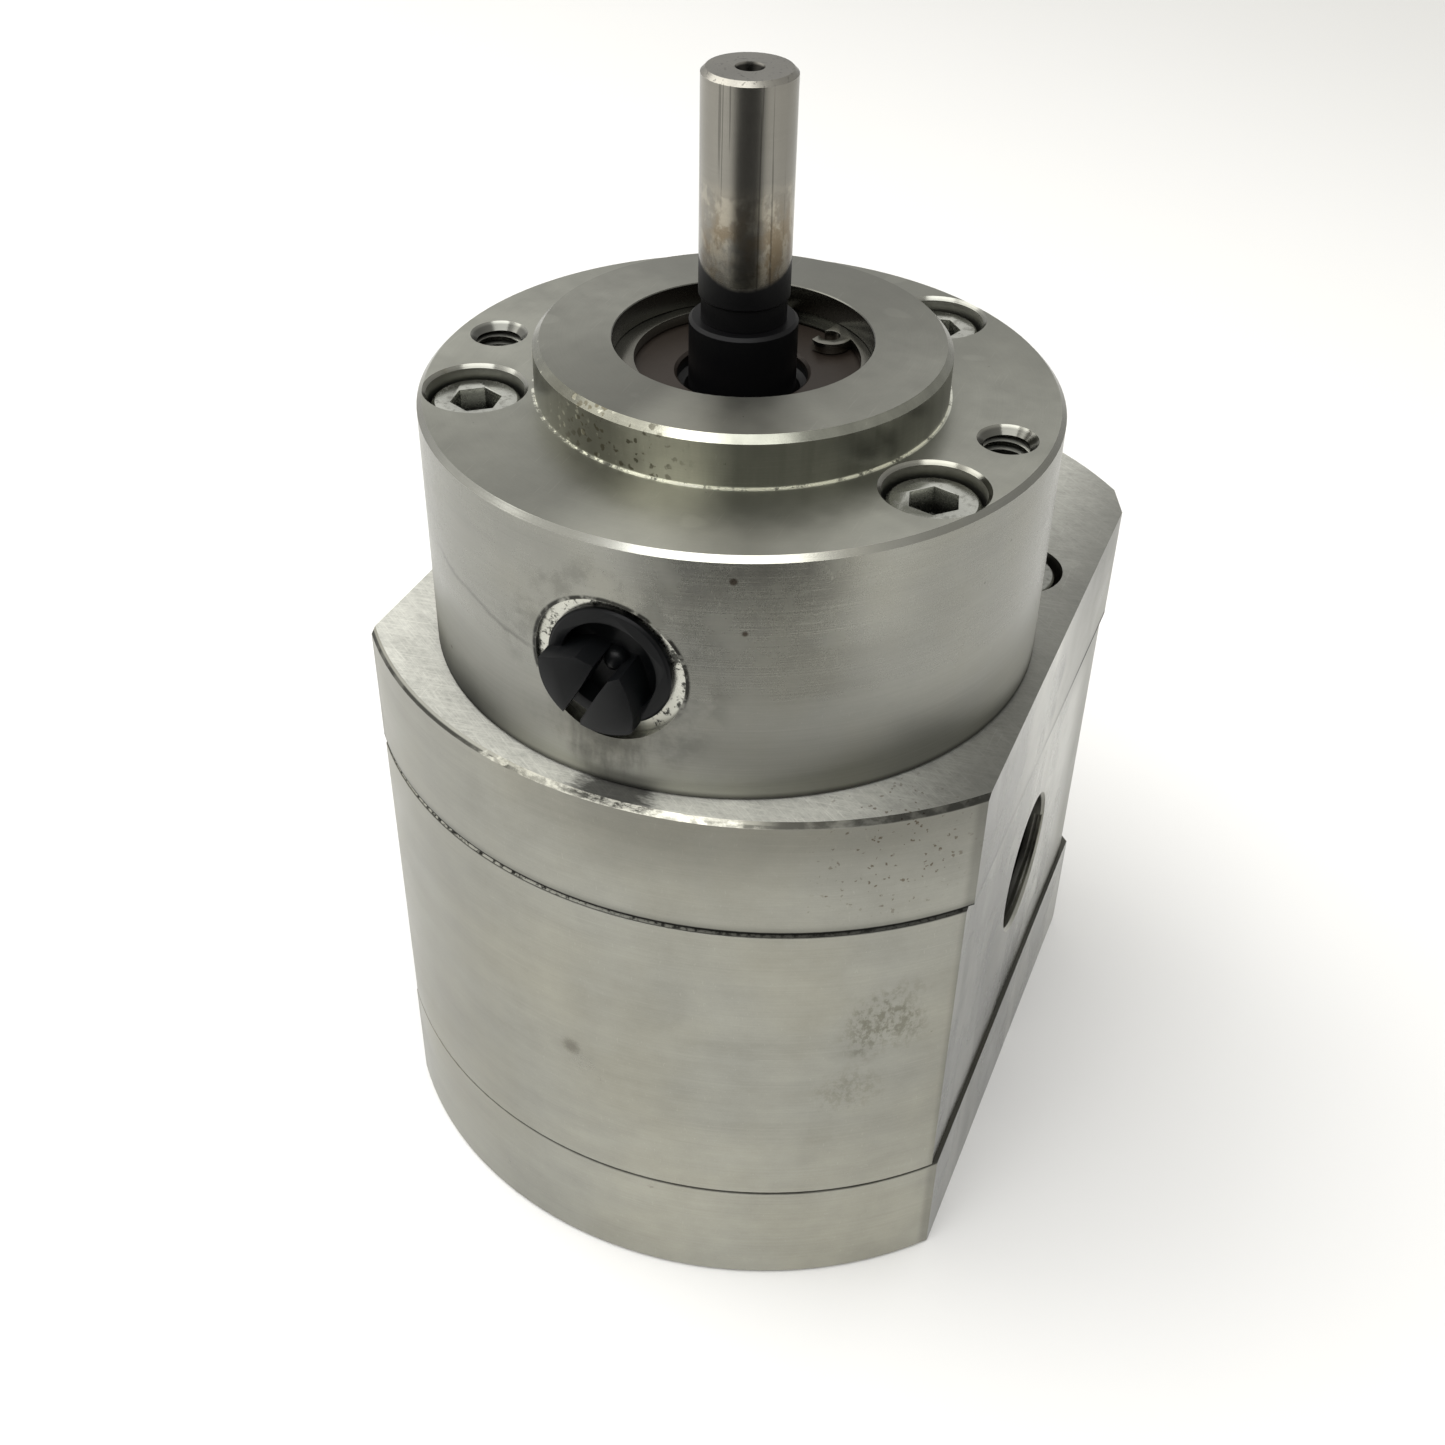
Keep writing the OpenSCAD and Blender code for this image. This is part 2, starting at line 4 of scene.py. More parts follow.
import bmesh
import bpy
from mathutils import Euler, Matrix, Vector

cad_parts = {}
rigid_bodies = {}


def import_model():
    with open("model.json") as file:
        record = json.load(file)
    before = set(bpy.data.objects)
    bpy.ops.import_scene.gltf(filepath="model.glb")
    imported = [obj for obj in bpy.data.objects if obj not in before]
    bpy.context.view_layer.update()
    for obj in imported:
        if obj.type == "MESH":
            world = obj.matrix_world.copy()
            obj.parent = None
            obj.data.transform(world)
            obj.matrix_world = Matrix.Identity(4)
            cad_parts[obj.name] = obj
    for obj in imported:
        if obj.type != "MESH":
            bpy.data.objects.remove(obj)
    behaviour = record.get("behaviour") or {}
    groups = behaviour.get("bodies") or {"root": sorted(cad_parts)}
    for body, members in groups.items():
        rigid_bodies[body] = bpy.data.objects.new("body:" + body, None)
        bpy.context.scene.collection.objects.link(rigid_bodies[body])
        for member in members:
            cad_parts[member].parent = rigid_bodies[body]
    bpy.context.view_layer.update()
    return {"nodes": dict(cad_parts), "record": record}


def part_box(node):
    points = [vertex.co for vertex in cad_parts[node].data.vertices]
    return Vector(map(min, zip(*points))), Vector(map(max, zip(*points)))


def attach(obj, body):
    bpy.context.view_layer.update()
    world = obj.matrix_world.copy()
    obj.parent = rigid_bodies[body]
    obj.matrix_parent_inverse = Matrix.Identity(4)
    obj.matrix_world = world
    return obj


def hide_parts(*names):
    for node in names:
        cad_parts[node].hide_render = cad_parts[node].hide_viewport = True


for old in list(bpy.data.objects):
    bpy.data.objects.remove(old)

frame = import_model()
NODES = frame["nodes"]
MM = 0.001

# places taken from the CAD boxes, in metres; the spigot stands 5.9 mm above the housing face
Z_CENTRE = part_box("rear_plate")[1].z
Z_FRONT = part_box("centre_plate")[1].z
Z_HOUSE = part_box("front_plate")[1].z
Z_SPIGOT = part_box("seal_housing")[1].z
Z_FACE = Z_SPIGOT - 5.9 * MM
BODY_Y = (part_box("front_plate")[0].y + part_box("front_plate")[1].y) / 2
FLAT_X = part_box("centre_plate")[1].x
PORT_Z = Z_CENTRE + 23.5 * MM
PLUG_Z = Z_FACE - 15.6 * MM
PLUG_X = (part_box("port_plug")[0].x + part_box("port_plug")[1].x) / 2

# radii of the turned sides and places of the screws, in mm
HOUSE_R, SPIGOT_R, BODY_R = 36.0, 23.1, 51.0
ADAPTOR_X = 30.6
SCREW_CIRCLE_R = 29.6
SCREW_ANGLES = (-153.8, -26.2, 60.0, 120.0)
PLATE_SCREWS = [(sx * 28.85, 12 + sy * 11.1) for sx in (-1, 1) for sy in (-1, 1)]

# bevels of the small parts, and the angles at which an edge is sharp, is bevelled and is dissolved
EDGE, RING_EDGE = 0.12 * MM, 0.1 * MM
SHARP_ANGLE, BEVEL_ANGLE, LEVEL_ANGLE = math.radians(32), math.radians(30), math.radians(0.4)


# ---------------------------------------------------------------- meshes

def smooth(obj):
    """Smooth shading with sharp edges where faces meet at more than the sharp angle."""
    me = obj.data
    me.polygons.foreach_set("use_smooth", [True] * len(me.polygons))
    me.set_sharp_from_angle(angle=SHARP_ANGLE)
    me.update()


def new_object(name, bm):
    me = bpy.data.meshes.new(name)
    bm.to_mesh(me)
    bm.free()
    obj = bpy.data.objects.new(name, me)
    bpy.context.scene.collection.objects.link(obj)
    return obj


def settle(obj):
    """Bakes the modifiers of an object into its mesh."""
    bpy.context.view_layer.update()
    dg = bpy.context.evaluated_depsgraph_get()
    me = bpy.data.meshes.new_from_object(obj.evaluated_get(dg))
    old = obj.data
    obj.modifiers.clear()
    obj.data = me
    bpy.data.meshes.remove(old)


def helix(name, r_in, r_out, half_in, half_out, pitch, turns, steps):
    """Closed helical solid about +Z that starts at z = 0."""
    bm = bmesh.new()
    rings = []
    for i in range(int(turns * steps) + 1):
        a = 2 * math.pi * i / steps
        z = pitch * i / steps
        ring = []
        for r, dz in ((r_in, -half_in), (r_out, -half_out), (r_out, half_out), (r_in, half_in)):
            ring.append(bm.verts.new((r * math.cos(a), r * math.sin(a), z + dz)))
        rings.append(ring)
    for a, b in zip(rings, rings[1:]):
        for k in range(4):
            bm.faces.new((a[k], b[k], b[(k + 1) % 4], a[(k + 1) % 4]))
    bm.faces.new(rings[0])
    bm.faces.new(rings[-1][::-1])
    bmesh.ops.recalc_face_normals(bm, faces=bm.faces)
    return new_object(name, bm)


def cad_copy(node, name, cutters=(), bevel=0.0):
    """A finer piece that starts from the CAD shape of a node and stands for it."""
    bm = bmesh.new()
    bm.from_mesh(NODES[node].data)
    bmesh.ops.remove_doubles(bm, verts=bm.verts, dist=1e-7)
    obj = new_object(name, bm)
    obj.data.attributes.remove(obj.data.attributes["custom_normal"])
    for cutter in cutters:
        mod = obj.modifiers.new("cut", "BOOLEAN")
        mod.operation = "DIFFERENCE"
        mod.solver = "EXACT"
        mod.object = cutter
    if cutters:
        settle(obj)
    for cutter in cutters:
        bpy.data.objects.remove(cutter)
    if bevel:
        bm = bmesh.new()
        bm.from_mesh(obj.data)
        bmesh.ops.dissolve_limit(bm, angle_limit=LEVEL_ANGLE, verts=bm.verts, edges=bm.edges)
        bm.to_mesh(obj.data)
        bm.free()
        mod = obj.modifiers.new("edge", "BEVEL")
        mod.width = bevel
        mod.segments = 2
        mod.limit_method = "ANGLE"
        mod.angle_limit = BEVEL_ANGLE
        settle(obj)
    smooth(obj)
    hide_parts(node)
    body = next(b for b, ns in frame["record"]["behaviour"]["bodies"].items() if node in ns)
    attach(obj, body)
    return obj


def thread_cutter(name, r_in, r_out, pitch, length, steps):
    """Cutter for a thread: wide at the inner radius, nearly sharp at the outer one."""
    return helix(name, r_in, r_out, pitch * 0.44, pitch * 0.06, pitch, length / pitch, steps)


# M6 thread in the two adaptor holes: 12 mm long, from 12.6 mm below the face
cuts = []
for side in (-1, 1):
    cut = thread_cutter("cut_adaptor", 2.3 * MM, 3.05 * MM, 1.0 * MM, 12 * MM, 40)
    cut.location = (side * ADAPTOR_X * MM, 0, Z_FACE - 12.6 * MM)
    cuts.append(cut)
housing = cad_copy("seal_housing", "seal_housing_body", cuts)

# pipe thread in the two ports, 14 turns to the inch: 15 mm long, from 15.6 mm inside the flat
cuts = []
for side in (-1, 1):
    cut = thread_cutter("cut_port", 9.0 * MM, 9.95 * MM, 1.814 * MM, 15 * MM, 72)
    cut.rotation_euler = (0, side * math.pi / 2, 0)
    cut.location = (side * (FLAT_X - 15.6 * MM), BODY_Y, PORT_Z)
    cuts.append(cut)
centre = cad_copy("centre_plate", "centre_plate_body", cuts)
front = cad_copy("front_plate", "front_plate_body")
rear = cad_copy("rear_plate", "rear_plate_body")
shaft = cad_copy("drive_shaft", "drive_shaft_body")
plug = cad_copy("port_plug", "port_plug_body", bevel=EDGE)
ring = cad_copy("retaining_ring", "retaining_ring_body", bevel=RING_EDGE)
seal_case = cad_copy("outer_seal_case", "outer_seal_case_body")
house_screws = cad_copy("housing_screws", "housing_screws_body", bevel=EDGE)
plate_screws = cad_copy("body_screws", "body_screws_body", bevel=EDGE)
rear_screws = cad_copy("rear_screws", "rear_screws_body", bevel=EDGE)


# ---------------------------------------------------------------- materials

class Nodes:
    """Short way to write a node tree. Positions are in mm."""

    def __init__(self, name):
        self.mat = bpy.data.materials.new(name)
        self.mat.use_nodes = True
        self.tree = self.mat.node_tree
        self.tree.nodes.clear()
        self.out = self.add("OutputMaterial")
        self.bsdf = self.add("BsdfPrincipled")
        self.link(self.bsdf.outputs[0], self.out.inputs["Surface"])
        self.mm = self.vec("SCALE", self.add("TexCoord").outputs["Object"], scale=1000.0)
        self.x, self.y, self.z = self.split(self.mm)[0:3]
        self.nrm = self.split(self.add("NewGeometry").outputs["Normal"])

    def add(self, kind, ins=None, **props):
        node = self.tree.nodes.new("ShaderNode" + kind)
        for key, value in props.items():
            setattr(node, key, value)
        for key, value in (ins or {}).items():
            self.put(node.inputs[key], value)
        return node

    def link(self, a, b):
        self.tree.links.new(a, b)

    def put(self, socket, value):
        if isinstance(value, bpy.types.NodeSocket):
            self.link(value, socket)
        else:
            socket.default_value = value

    def math(self, op, a, b=0.0, c=0.0):
        node = self.add("Math", operation=op)
        for i, value in enumerate((a, b, c)):
            self.put(node.inputs[i], value)
        return node.outputs[0]

    def vec(self, op, a, b=None, scale=None):
        node = self.add("VectorMath", operation=op)
        self.put(node.inputs[0], a)
        if b is not None:
            self.put(node.inputs[1], b)
        if scale is not None:
            self.put(node.inputs["Scale"], scale)
        return node.outputs["Vector"]

    def split(self, v):
        return self.add("SeparateXYZ", {"Vector": v}).outputs

    def noise(self, scale=1.0, detail=2.0, rough=0.5, stretch=None, vec=None, shift=0.0):
        vec = vec or self.mm
        if stretch:
            vec = self.vec("MULTIPLY", vec, stretch)
        if shift:
            vec = self.vec("ADD", vec, (shift, shift * 0.7, shift * 1.3))
        ins = {"Vector": vec, "Scale": scale, "Detail": detail, "Roughness": rough}
        return self.add("TexNoise", ins).outputs["Fac"]

    def step(self, value, low, high):
        """0 below low, 1 above high, smooth between."""
        node = self.add("MapRange", {"Value": value, "From Min": low, "From Max": high},
                        interpolation_type="SMOOTHSTEP")
        return node.outputs[0]

    def inv(self, value):
        return self.math("SUBTRACT", 1.0, value)

    def band(self, value, centre, half, soft):
        """1 near the centre, 0 away from it."""
        d = self.math("ABSOLUTE", self.math("SUBTRACT", value, centre))
        return self.inv(self.step(d, half, half + soft))

    def far(self, a, b, ca, cb):
        """Distance in a plane from (ca, cb)."""
        da, db = self.math("SUBTRACT", a, ca), self.math("SUBTRACT", b, cb)
        return self.math("SQRT", self.math("ADD", self.product(da, da), self.product(db, db)))

    def blob(self, centre, half, soft, ragged=0.0, grain=None):
        """1 near a point, fading over soft mm, with an uneven edge if there is a grain."""
        d = self.add("VectorMath", {0: self.mm, 1: centre}, operation="DISTANCE").outputs["Value"]
        if grain is not None:
            d = self.math("ADD", d, self.product(self.math("SUBTRACT", grain, 0.5), ragged))
        return self.inv(self.step(d, half, half + soft))

    def mix(self, fac, a, b):
        """Blend of two colours, through the colour sockets of a Mix node."""
        node = self.add("Mix", data_type="RGBA")
        self.put(node.inputs["Factor"], fac)
        self.put(node.inputs[6], a if isinstance(a, bpy.types.NodeSocket) else (*a, 1))
        self.put(node.inputs[7], b if isinstance(b, bpy.types.NodeSocket) else (*b, 1))
        return node.outputs[2]

    def mixf(self, fac, a, b):
        """Blend of two numbers, through the number sockets of a Mix node."""
        node = self.add("Mix", data_type="FLOAT")
        self.put(node.inputs["Factor"], fac)
        self.put(node.inputs[2], a)
        self.put(node.inputs[3], b)
        return node.outputs[0]

    def total(self, *values):
        out = values[0]
        for v in values[1:]:
            out = self.math("ADD", out, v)
        return out

    def product(self, *values):
        out = values[0]
        for v in values[1:]:
            out = self.math("MULTIPLY", out, v)
        return out

    def sway(self, value, amount):
        """A texture value as a change around zero."""
        return self.product(self.math("SUBTRACT", value, 0.5), amount)

    def fade(self, mask, factor):
        """1 outside the mask, the factor inside it."""
        return self.math("SUBTRACT", 1.0, self.product(mask, 1.0 - factor))

    def largest(self, *values):
        out = values[0]
        for v in values[1:]:
            out = self.math("MAXIMUM", out, v)
        return out

    def bump(self, height, strength=0.2, distance=0.0001):
        node = self.add("Bump", {"Height": height, "Strength": strength, "Distance": distance})
        self.link(node.outputs[0], self.bsdf.inputs["Normal"])

    def turned(self):
        """The anisotropic gloss runs round the vertical axis."""
        tangent = self.add("Tangent", direction_type="RADIAL", axis="Z")
        self.link(tangent.outputs[0], self.bsdf.inputs["Tangent"])

    def set(self, **values):
        for key, value in values.items():
            self.put(self.bsdf.inputs[key.replace("_", " ")], value)

    def pits(self, size, spacing, seed, share=0.5):
        """Small round pits of uneven size, 1 inside a pit. Size and spacing in mm."""
        bend = self.add("TexNoise", {"Vector": self.mm, "Scale": 1.6, "Detail": 2.0}).outputs["Color"]
        at = self.vec("ADD", self.mm, (seed, seed * 1.7, seed * 0.6))
        at = self.vec("ADD", at, self.vec("SCALE", bend, scale=0.9))
        cell = self.add("TexVoronoi", {"Vector": at, "Scale": 1.0 / spacing})
        pick = self.split(cell.outputs["Color"])[0]
        r = self.product(self.step(pick, 1.0 - share, 1.0), size / spacing)
        edge = self.math("DIVIDE", cell.outputs["Distance"], self.math("ADD", r, 0.0001))
        return self.inv(self.step(edge, 0.6, 1.0))

    def scratches(self, sizes, keep, shift):
        """Thin scratches: a grain of these sizes in mm along x, y and z, of which only the top is kept."""
        lines = self.noise(1.0, 1.0, 0.4, tuple(1.0 / s for s in sizes), shift=shift)
        return self.step(lines, keep, keep + 0.03)

    def brushed(self, degrees, along, across, shift):
        """Scratch grain on a horizontal face, along one direction."""
        c, d = math.cos(math.radians(degrees)), math.sin(math.radians(degrees))
        u = self.total(self.product(self.x, c / along), self.product(self.y, d / along))
        v = self.total(self.product(self.x, -d / across), self.product(self.y, c / across))
        at = self.add("CombineXYZ", {"X": u, "Y": v, "Z": 0.0}).outputs[0]
        return self.noise(1.0, 4.0, 0.65, vec=at, shift=shift)


def give(obj, nodes):
    obj.data.materials.clear()
    obj.data.materials.append(nodes.mat)


def on_side(radius, angle, z, centre_y=0.0):
    """Point on a turned side, from its angle in degrees and its height."""
    a = math.radians(angle)
    return (radius * math.cos(a), centre_y + radius * math.sin(a), z)


def screw_wells(m, places, r, top):
    """1 inside the counterbores, below the face they are cut in."""
    deep = m.inv(m.step(m.z, top - 0.35, top - 0.08))
    wells = [m.inv(m.step(m.far(m.x, m.y, px, py), r, r + 0.1)) for px, py in places]
    return m.product(m.largest(*wells), deep)


def housing_steel():
    """Fine turned stainless steel of the round housing."""
    m = Nodes("steel_housing")
    face = Z_FACE / MM
    h = m.math("SUBTRACT", m.z, face)
    radius = m.far(m.x, m.y, 0, 0)
    up = m.step(m.nrm[2], 0.75, 0.95)
    upright = m.inv(up)
    slope = m.band(m.nrm[2], 0.7, 0.12, 0.1)
    ring_at = m.add("CombineXYZ", {"X": radius, "Y": 0.0, "Z": 0.0}).outputs[0]
    turned_side = m.noise(1.0, 4.0, 0.7, (0.02, 0.02, 7.0))
    turned_top = m.noise(5.0, 4.0, 0.75, vec=ring_at)
    lines = m.mixf(up, turned_side, turned_top)
    grain = m.noise(4.0, 3.0, 0.65)
    clouds = m.noise(0.05, 4.0, 0.55)
    mottle = m.noise(0.22, 5.0, 0.62)
    wipe = m.noise(1.0, 3.0, 0.6, (0.06, 0.06, 0.25), shift=31.0)
    tops = m.noise(1.0, 3.0, 0.6, (0.3, 0.3, 0.3), shift=7.0)
    scratch = m.largest(m.scratches((9.0, 9.0, 0.12), 0.70, 4.0), m.scratches((0.2, 6.0, 0.7), 0.72, 9.0))
    dots = m.product(m.pits(0.34, 5.0, 3.0, 0.35), upright)
    fine_dots = m.product(m.pits(0.16, 1.3, 8.0, 0.3), m.step(mottle, 0.5, 0.62))

    # the spigot side, the bore with painted shade, and the lowest few mm with painted shade at the left and
    # painted light in front
    spigot = m.product(m.step(h, 0.05, 0.4), upright, m.step(radius, 19.0, 20.0))
    bore = m.product(m.inv(m.step(radius, 15.3, 15.6)), upright)
    foot = m.product(m.inv(m.step(m.math("ADD", h, m.sway(mottle, 2.0)), -31.0, -23.0)), upright)
    # painted shade at the left of the foot, painted light in front of it
    foot_shade_and_light = m.mixf(m.step(m.x, 8.0, 24.0), m.mixf(m.step(m.x, -20.0, -4.0), 0.14, 1.9), 1.0)
    foot_shade_and_light = m.mixf(foot, 1.0, foot_shade_and_light)
    foot_high = m.product(m.inv(m.step(h, -27.0, -16.0)), upright)
    low_line = m.product(m.inv(m.step(h, -30.1, -29.3)), upright)

    # counterbores and countersinks, darkened with painted shade
    angles = [math.radians(a) for a in SCREW_ANGLES]
    painted_well = screw_wells(m, [(SCREW_CIRCLE_R * math.cos(a), SCREW_CIRCLE_R * math.sin(a)) for a in angles],
                       5.65, face)
    sink_shade = m.product(screw_wells(m, ((ADAPTOR_X, 0), (-ADAPTOR_X, 0)), 4.3, face), m.step(h, -1.6, -1.0))

    # round the plug: a rubbed ring, the spot face with its grime and with painted light where the plug casts
    # no shadow, a dark outline and a scrape
    plug_x, plug_z = PLUG_X / MM, PLUG_Z / MM
    plug_far = m.far(m.x, m.z, plug_x, plug_z)
    plug_side = m.inv(m.step(m.y, -22.0, -20.0))
    ring_round = m.product(m.band(plug_far, 10.0, 1.2, 3.5), plug_side, m.step(mottle, 0.42, 0.62))
    spot = m.product(m.inv(m.step(plug_far, 8.2, 8.6)), plug_side)
    grime = m.product(spot, m.step(m.noise(0.8, 4.0, 0.7, shift=9.0), 0.50, 0.60))
    outline = m.product(m.band(plug_far, 8.62, 0.16, 0.28), plug_side,
                        m.step(m.noise(0.5, 3.0, 0.6, shift=27.0), 0.36, 0.52),
                        m.step(m.z, plug_z - 5.0, plug_z - 2.0))
    # painted light reaches the spot face only on the sides the plug does not shadow
    unshadowed_side = m.largest(m.step(m.z, plug_z - 3.0, plug_z - 1.0), m.step(m.x, plug_x + 2.5, plug_x + 4.5))
    scrape = m.total(m.z, m.product(m.x, 0.22), m.sway(mottle, 2.2))
    scrape = m.product(m.band(scrape, face - 18.1, 0.0, 0.55), m.band(m.x, -17.0, 6.0, 4.0), plug_side)
    rub = m.blob(on_side(HOUSE_R, -91, face - 23.5), 1.0, 6.0, 9.0,
                 m.noise(1.0, 3.0, 0.6, (0.9, 0.9, 0.25), shift=6.0))
    rust = m.product(m.largest(m.blob(on_side(HOUSE_R, -69, face - 2.7), 0.25, 0.3),
                               m.blob(on_side(HOUSE_R, -67, face - 8.8), 0.15, 0.3)), 0.8)

    # the spigot side: painted shade and a painted lit band, a stain with pits, pale specks and a bright foot
    # line
    stain = m.product(m.blob(on_side(SPIGOT_R, -118, face + 2.0), 4.0, 8.0, 4.0, mottle), spigot)
    specks = m.product(m.pits(0.34, 0.75, 5.0, 0.5), m.step(m.noise(0.35, 3.0, 0.6, shift=2.0), 0.38, 0.5),
                       spigot, m.inv(m.step(m.x, -9.0, -3.0)))
    broken = m.total(m.noise(1.1, 3.0, 0.7, shift=15.0), m.product(m.step(m.x, -12.0, 2.0), 0.14))
    foot_line = m.product(m.band(h, 0.12, 0.10, 0.08), m.band(radius, SPIGOT_R, 0.25, 0.1),
                          m.step(broken, 0.48, 0.62))
    spigot_pits = m.product(m.pits(0.52, 0.85, 11.0, 0.8),
                            m.blob(on_side(SPIGOT_R, -103, face + 2.0), 4.0, 6.5), spigot)
    lit = m.product(m.band(m.x, 0.5, 3.0, 4.5), m.inv(m.step(m.y, -21.0, -18.0)))
    streaks = m.product(m.noise(1.0, 3.0, 0.6, (0.35, 0.35, 0.03), shift=12.0), spigot)

    # painted highlight: a streak on the turned top from the middle outwards, and painted light on the side
    # below it
    around = m.math("DEGREES", m.math("ARCTAN2", m.y, m.x))
    painted_top_streak = m.product(m.total(m.product(m.band(around, -86.0, 2.0, 17.0), 0.75),
                              m.product(m.band(around, -62.0, 14.0, 16.0), 0.35)), up)
    painted_side_light = m.product(m.band(around, -66.0, 10.0, 24.0), m.step(h, -17.0, -6.0), upright, m.inv(spigot))

    side_col = m.mix(m.step(clouds, 0.40, 0.70), (0.395, 0.396, 0.358), (0.372, 0.368, 0.318))
    top_col = m.mix(m.step(h, 0.5, 1.5), (0.440, 0.442, 0.392), (0.350, 0.351, 0.312))
    col = m.mix(up, side_col, top_col)
    # painted shade darkens the spigot side, with a painted lit band in front
    col = m.mix(m.product(spigot, 0.85), col, m.mix(lit, (0.200, 0.203, 0.170), (0.420, 0.415, 0.340)))
    col = m.mix(m.product(stain, 0.7), col, (0.115, 0.112, 0.088))
    col = m.mix(m.product(spigot_pits, 0.8), col, (0.070, 0.062, 0.040))
    col = m.mix(m.largest(rust, m.product(dots, 0.75)), col, (0.060, 0.038, 0.022))
    tone = m.total(1.0, m.sway(clouds, 0.30), m.sway(mottle, 0.22), m.sway(lines, 0.22), m.sway(grain, 0.08),
                   m.sway(wipe, 0.20), m.product(scratch, 0.10), m.product(m.sway(tops, 0.18), up))
    tone = m.product(tone, foot_shade_and_light, m.fade(low_line, 0.35), m.fade(painted_well, 0.80), m.fade(sink_shade, 0.48),
                     m.fade(slope, 0.9), m.fade(bore, 0.42), m.fade(ring_round, 0.76), m.fade(rub, 0.62),
                     m.fade(grime, 0.25), m.fade(fine_dots, 0.6), m.fade(outline, 0.15),
                     m.fade(scrape, 0.72), m.total(1.0, m.sway(streaks, 0.7)),
                     m.total(1.0, painted_top_streak, m.product(painted_side_light, 0.55)))
    # painted light on the unshadowed spot face
    tone = m.total(tone, specks, m.product(foot_line, 1.3), m.product(spot, m.inv(grime), unshadowed_side, 0.8))
    m.set(Base_Color=m.vec("SCALE", col, scale=tone), Metallic=1.0, Anisotropic=0.7)
    rough = m.total(0.27, m.sway(mottle, 0.14), m.sway(grain, 0.06), m.product(foot_high, 0.30),
                    m.product(spigot, 0.04), m.product(painted_well, 0.25), m.product(scratch, 0.06))
    rough = m.mixf(up, rough, m.total(0.40, m.sway(mottle, 0.12), m.sway(tops, 0.10)))
    m.set(Roughness=m.mixf(slope, rough, 0.17))
    m.turned()
    m.bump(m.total(m.product(lines, 0.6), m.product(grain, 0.12), m.product(m.inv(specks), 0.6),
                   m.product(m.inv(dots), 0.5)), 0.18, 0.00005)
    return m


def plate_steel():
    """Turned sides, milled flats and a scratched top of the three body plates."""
    m = Nodes("steel_plates")
    top, seam1, seam2 = Z_HOUSE / MM, Z_FRONT / MM, Z_CENTRE / MM
    cy = BODY_Y / MM
    up = m.step(m.nrm[2], 0.8, 0.95)
    side = m.inv(m.step(m.math("ABSOLUTE", m.nrm[2]), 0.2, 0.5))
    flat = m.product(m.step(m.math("ABSOLUTE", m.nrm[0]), 0.985, 0.998),
                     m.step(m.math("ABSOLUTE", m.x), 36.5, 37.2))
    turned_side = m.noise(1.0, 4.0, 0.7, (0.02, 0.02, 6.0))
    milled = m.noise(1.0, 3.0, 0.65, (0.4, 0.15, 3.0), shift=5.0)
    lines = m.mixf(flat, turned_side, milled)
    grain = m.noise(4.0, 3.0, 0.65)
    clouds = m.noise(0.04, 4.0, 0.55, shift=3.0)
    mottle = m.noise(0.18, 5.0, 0.62, shift=6.0)
    patches = m.noise(0.09, 3.0, 0.5, shift=14.0)
    wipe = m.noise(1.0, 4.0, 0.6, (0.05, 0.05, 0.22), shift=22.0)
    scratch = m.largest(m.scratches((8.0, 8.0, 0.12), 0.70, 1.0), m.scratches((0.25, 7.0, 0.8), 0.72, 17.0))
    dots = m.product(m.pits(0.30, 6.5, 2.0, 0.3), side)
    off_flat = m.inv(flat)

    def at_side(angle, z):
        return on_side(BODY_R, angle, z, cy)

    # stains and marks that the real one has
    rust_zone = m.blob(at_side(-53, top - 5.0), 4.5, 8.0, 8.0, mottle)
    rust = m.product(m.pits(0.27, 0.62, 6.0, 0.45), rust_zone, m.step(grain, 0.34, 0.46))
    rust2 = m.product(m.pits(0.20, 0.8, 12.0, 0.45), m.blob(at_side(-61, top - 10), 1.0, 5.0, 3.0, mottle))
    freckle = m.step(m.noise(1.1, 4.0, 0.75, (1.0, 1.0, 0.7), shift=29.0), 0.44, 0.60)
    cloud_right = m.product(m.blob(at_side(-52, 46.5), 1.5, 6.0, 9.0, mottle), freckle)
    cloud_low = m.product(m.blob(at_side(-56.5, 35.5), 1.0, 5.0, 7.0, mottle), freckle)
    cloud_left = m.blob(at_side(-127, 26), 3.0, 13.0, 9.0, mottle)
    mark = m.blob(at_side(-95.3, 36.8), 0.35, 1.4, 1.2, grain)
    low_marks = m.product(m.pits(0.5, 3.0, 9.0, 0.4), m.blob(at_side(-81, 13.8), 3.0, 9.0), side)

    # the two seams: a groove with dirt above it and a bright crest, and a fine line
    groove = m.product(m.band(m.z, seam1, 0.38, 0.16), off_flat)
    above = m.product(m.inv(m.step(m.math("SUBTRACT", m.z, seam1), 0.2, 1.6)),
                      m.step(m.z, seam1, seam1 + 0.1))
    crest = m.product(m.band(m.z, seam1 - 0.27, 0.07, 0.07), m.step(m.noise(1.6, 2.0, 0.6), 0.36, 0.56),
                      m.fade(m.step(m.x, -14.0, 22.0), 0.15), off_flat)
    line2 = m.band(m.z, seam2, 0.12, 0.12)

    # the rim is a thin dark line at the left, bright and torn in the middle, dark again at the right
    edge_wear = m.step(m.noise(0.35, 4.0, 0.6, (1.0, 1.0, 2.0), shift=19.0), 0.44, 0.66)
    along = m.math("ADD", m.x, m.sway(edge_wear, 5.0))
    torn = m.product(m.step(along, -15.0, -11.0), m.inv(m.step(along, 10.0, 17.0)))
    bevel = m.product(m.step(m.z, top - 0.75, top - 0.5), m.inv(up), m.step(m.nrm[2], 0.2, 0.4))
    thin = m.largest(m.inv(m.step(m.z, top - 0.34, top - 0.2)), m.step(m.x, 12.0, 20.0))
    rim = m.product(bevel, m.inv(torn), thin, m.fade(edge_wear, 0.75))
    shreds = m.step(m.noise(0.8, 4.0, 0.75, (1.0, 1.0, 2.5), shift=19.0), 0.40, 0.62)
    torn_edge = m.product(bevel, torn, shreds)
